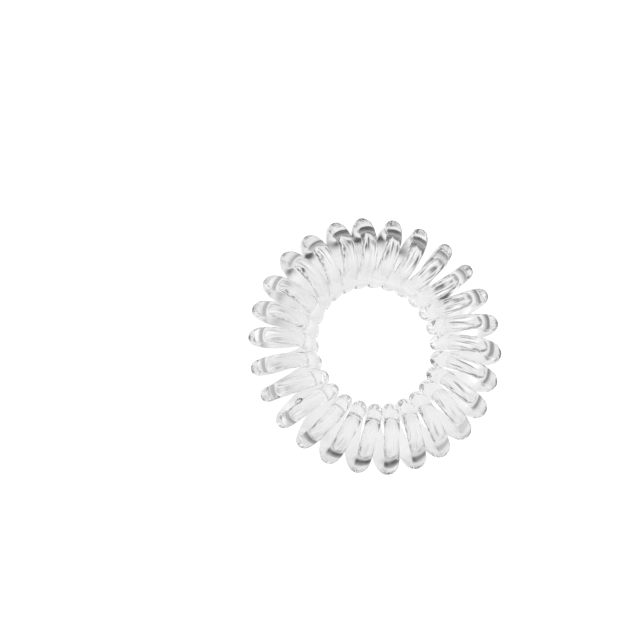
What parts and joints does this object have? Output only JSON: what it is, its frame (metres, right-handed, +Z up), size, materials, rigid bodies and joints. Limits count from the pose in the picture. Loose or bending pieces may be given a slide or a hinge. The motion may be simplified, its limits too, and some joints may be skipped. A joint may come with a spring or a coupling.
{
  "type": "spiral hair tie",
  "caption": "Clear plastic spiral hair tie: one closed round cord wound into a coil whose core is bent round into a ring, open in the middle.",
  "frame": {"origin": "centre of the ring, on the surface that it lies on", "axes": "+Z up along the ring's axis, +X through the outer end of one turn"},
  "size_m": [0.038, 0.0378, 0.0102],
  "materials": {
    "clear_plastic": "smooth, clear, elastic"
  },
  "bodies": {
    "root": {"coil": "clear_plastic"}
  },
  "joints": []
}
